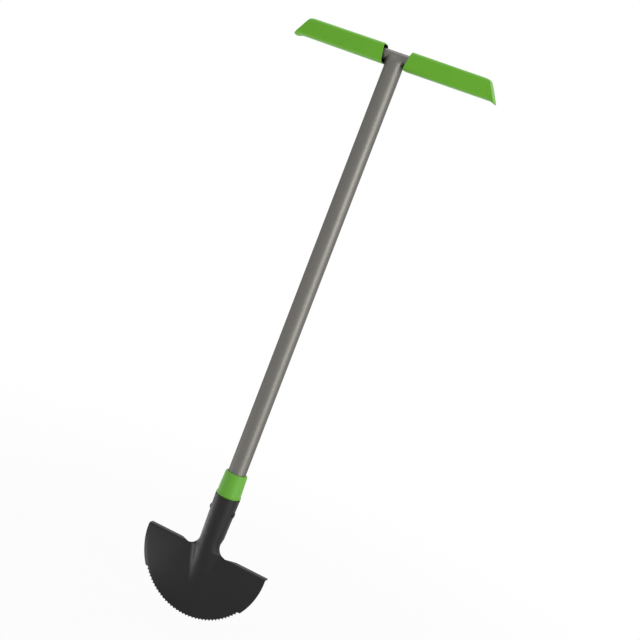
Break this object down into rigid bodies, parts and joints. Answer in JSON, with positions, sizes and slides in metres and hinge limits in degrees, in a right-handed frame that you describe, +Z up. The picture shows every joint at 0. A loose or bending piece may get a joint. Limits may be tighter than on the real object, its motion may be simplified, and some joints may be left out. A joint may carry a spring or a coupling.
{
  "type": "half moon edger",
  "caption": "Half moon lawn edger with a black pressed steel head, toothed edge and foot treads, a grey tube shaft, a green collar and a T handle with green grips",
  "frame": {"origin": "On the shaft's axis, level with the lowest tooth of the half-moon blade", "axes": "+Z up along the shaft, X along the T handle, the front of the blade and the frog's ridge face -Y"},
  "size_m": [0.334, 0.041, 0.9444],
  "materials": {
    "black_coat": "satin black powder coat on pressed steel",
    "grey_coat": "semi-gloss grey paint on welded steel tube",
    "collar_green": "moulded green plastic, slightly translucent",
    "grip_green": "moulded green plastic with a fine grain"
  },
  "bodies": {
    "root": {"blade_head": "black_coat", "rivet": "black_coat", "collar": "collar_green", "shaft_tube": "grey_coat", "cross_tube": "grey_coat", "handle_weld": "grey_coat", "left_grip": "grip_green", "right_grip": "grip_green"}
  },
  "joints": []
}
